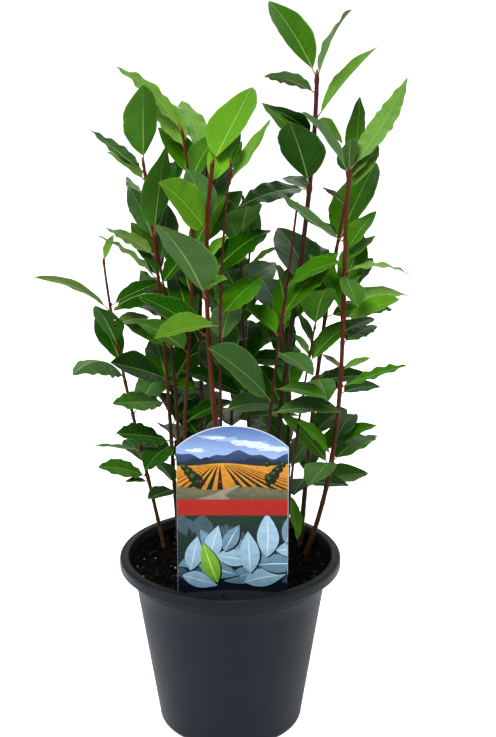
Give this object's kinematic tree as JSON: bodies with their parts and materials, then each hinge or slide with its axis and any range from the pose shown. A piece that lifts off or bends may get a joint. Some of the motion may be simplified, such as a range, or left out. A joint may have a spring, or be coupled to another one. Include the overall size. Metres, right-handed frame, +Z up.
{
  "type": "young bay laurel in a nursery pot",
  "caption": "Young bay laurel shrub of slender upright canes with alternate glossy leaves, growing in a round tapered nursery pot with a blank arched plant label.",
  "frame": {"origin": "centre of the pot's flat underside, where it stands on the ground", "axes": "+Z up along the pot's axis; the label faces -Y, so +X is to the right of someone who looks at the label"},
  "size_m": [0.2769, 0.2005, 0.5536],
  "materials": {
    "pot": "satin slate-grey moulded plastic, lightly scuffed",
    "compost": "damp black peat compost with a few pale crumbs",
    "label": null,
    "stem": "smooth red-brown young bark",
    "foliage": "glossy dark green leaves with pale midribs"
  },
  "bodies": {
    "root": {"pot": "pot", "compost": "compost", "label": "label", "stem_far_left": "stem", "stem_left": "stem", "stem_left_back": "stem", "stem_left_inner": "stem", "stem_back_left": "stem", "stem_front": "stem", "stem_front_inner": "stem", "stem_back": "stem", "stem_centre": "stem", "stem_centre_right": "stem", "stem_tall": "stem", "stem_back_right": "stem", "stem_slim": "stem", "stem_right_inner": "stem", "stem_right": "stem", "foliage_far_left": "foliage", "foliage_left": "foliage", "foliage_left_back": "foliage", "foliage_left_inner": "foliage", "foliage_back_left": "foliage", "foliage_front": "foliage", "foliage_front_inner": "foliage", "foliage_back": "foliage", "foliage_centre": "foliage", "foliage_centre_right": "foliage", "foliage_tall": "foliage", "foliage_back_right": "foliage", "foliage_slim": "foliage", "foliage_right_inner": "foliage", "foliage_right": "foliage"}
  },
  "joints": []
}
